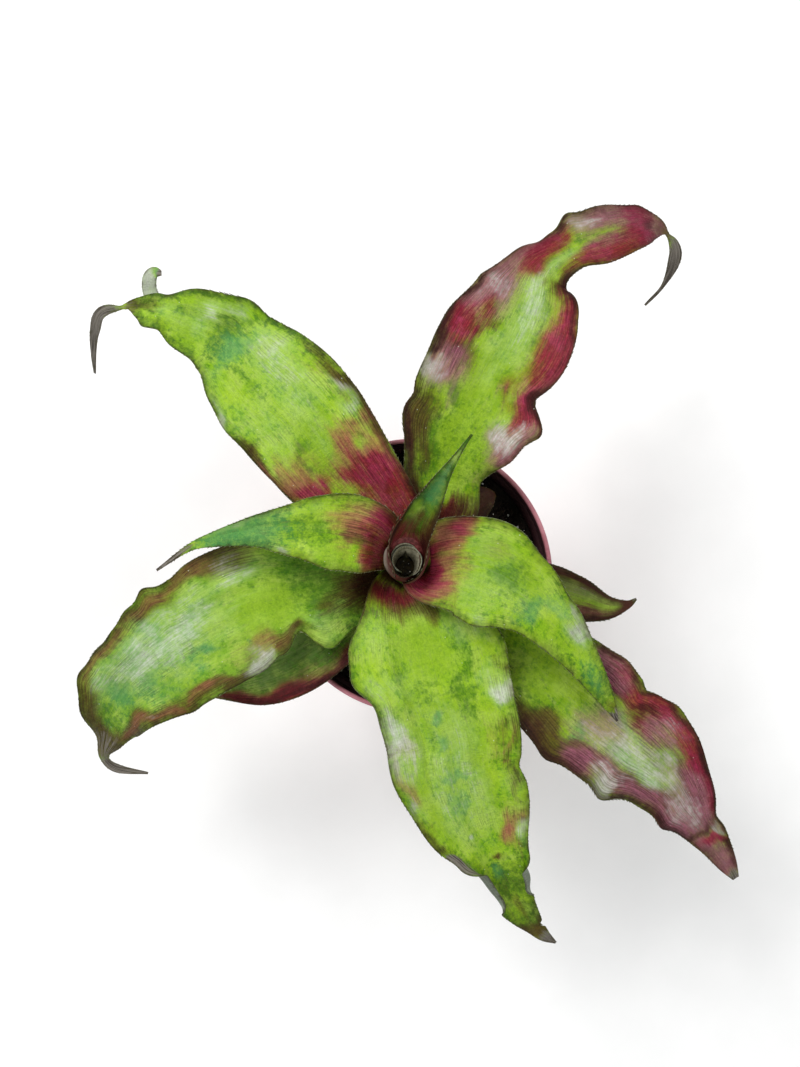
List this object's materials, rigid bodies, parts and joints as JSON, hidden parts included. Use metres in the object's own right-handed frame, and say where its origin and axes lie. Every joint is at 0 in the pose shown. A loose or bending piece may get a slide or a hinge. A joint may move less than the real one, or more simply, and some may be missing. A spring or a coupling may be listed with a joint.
{
  "type": "earth star plant in a pot",
  "caption": "Broad-leaved earth star rosette with waved, toothed, recurving leaves in a small round nursery pot.",
  "frame": {"origin": "centre of the pot's flat underside", "axes": "+Z up along the pot's axis; +X to the right and +Y up in the view from above"},
  "size_m": [0.2211, 0.2454, 0.1363],
  "materials": {
    "pot": "dusty satin, slightly marbled rose plastic",
    "soil": "damp peat and bark with white perlite",
    "stem": "dry fibrous brown",
    "leaf_heart": "pale waxy green with silver scurf",
    "leaf_young": "waxy green with a dark toothed margin",
    "leaf_green": "waxy, mottled yellow-green to dark green, rosy at the base",
    "leaf_crimson": "waxy, crimson and silver margins beside a yellow-green stripe",
    "leaf_silver": "waxy green under silver scurf, with rusty margins",
    "leaf_dark": "waxy dark green with maroon margins",
    "leaf_maroon": "waxy dark maroon"
  },
  "bodies": {
    "root": {"pot": "pot", "soil": "soil", "stem_and_roots": "stem", "leaf_bud": "leaf_young", "leaf_heart": "leaf_heart", "leaf_young_upright": "leaf_young", "leaf_short_left": "leaf_green", "leaf_top_right": "leaf_green", "leaf_big_upper_left": "leaf_green", "leaf_big_bottom": "leaf_green", "leaf_big_upper_right": "leaf_crimson", "leaf_big_lower_left": "leaf_silver", "leaf_big_lower_right": "leaf_crimson", "leaf_low_left": "leaf_dark", "leaf_small_right": "leaf_dark", "leaf_stub_right": "leaf_maroon", "leaf_low_upper_left": "leaf_silver"}
  },
  "joints": []
}
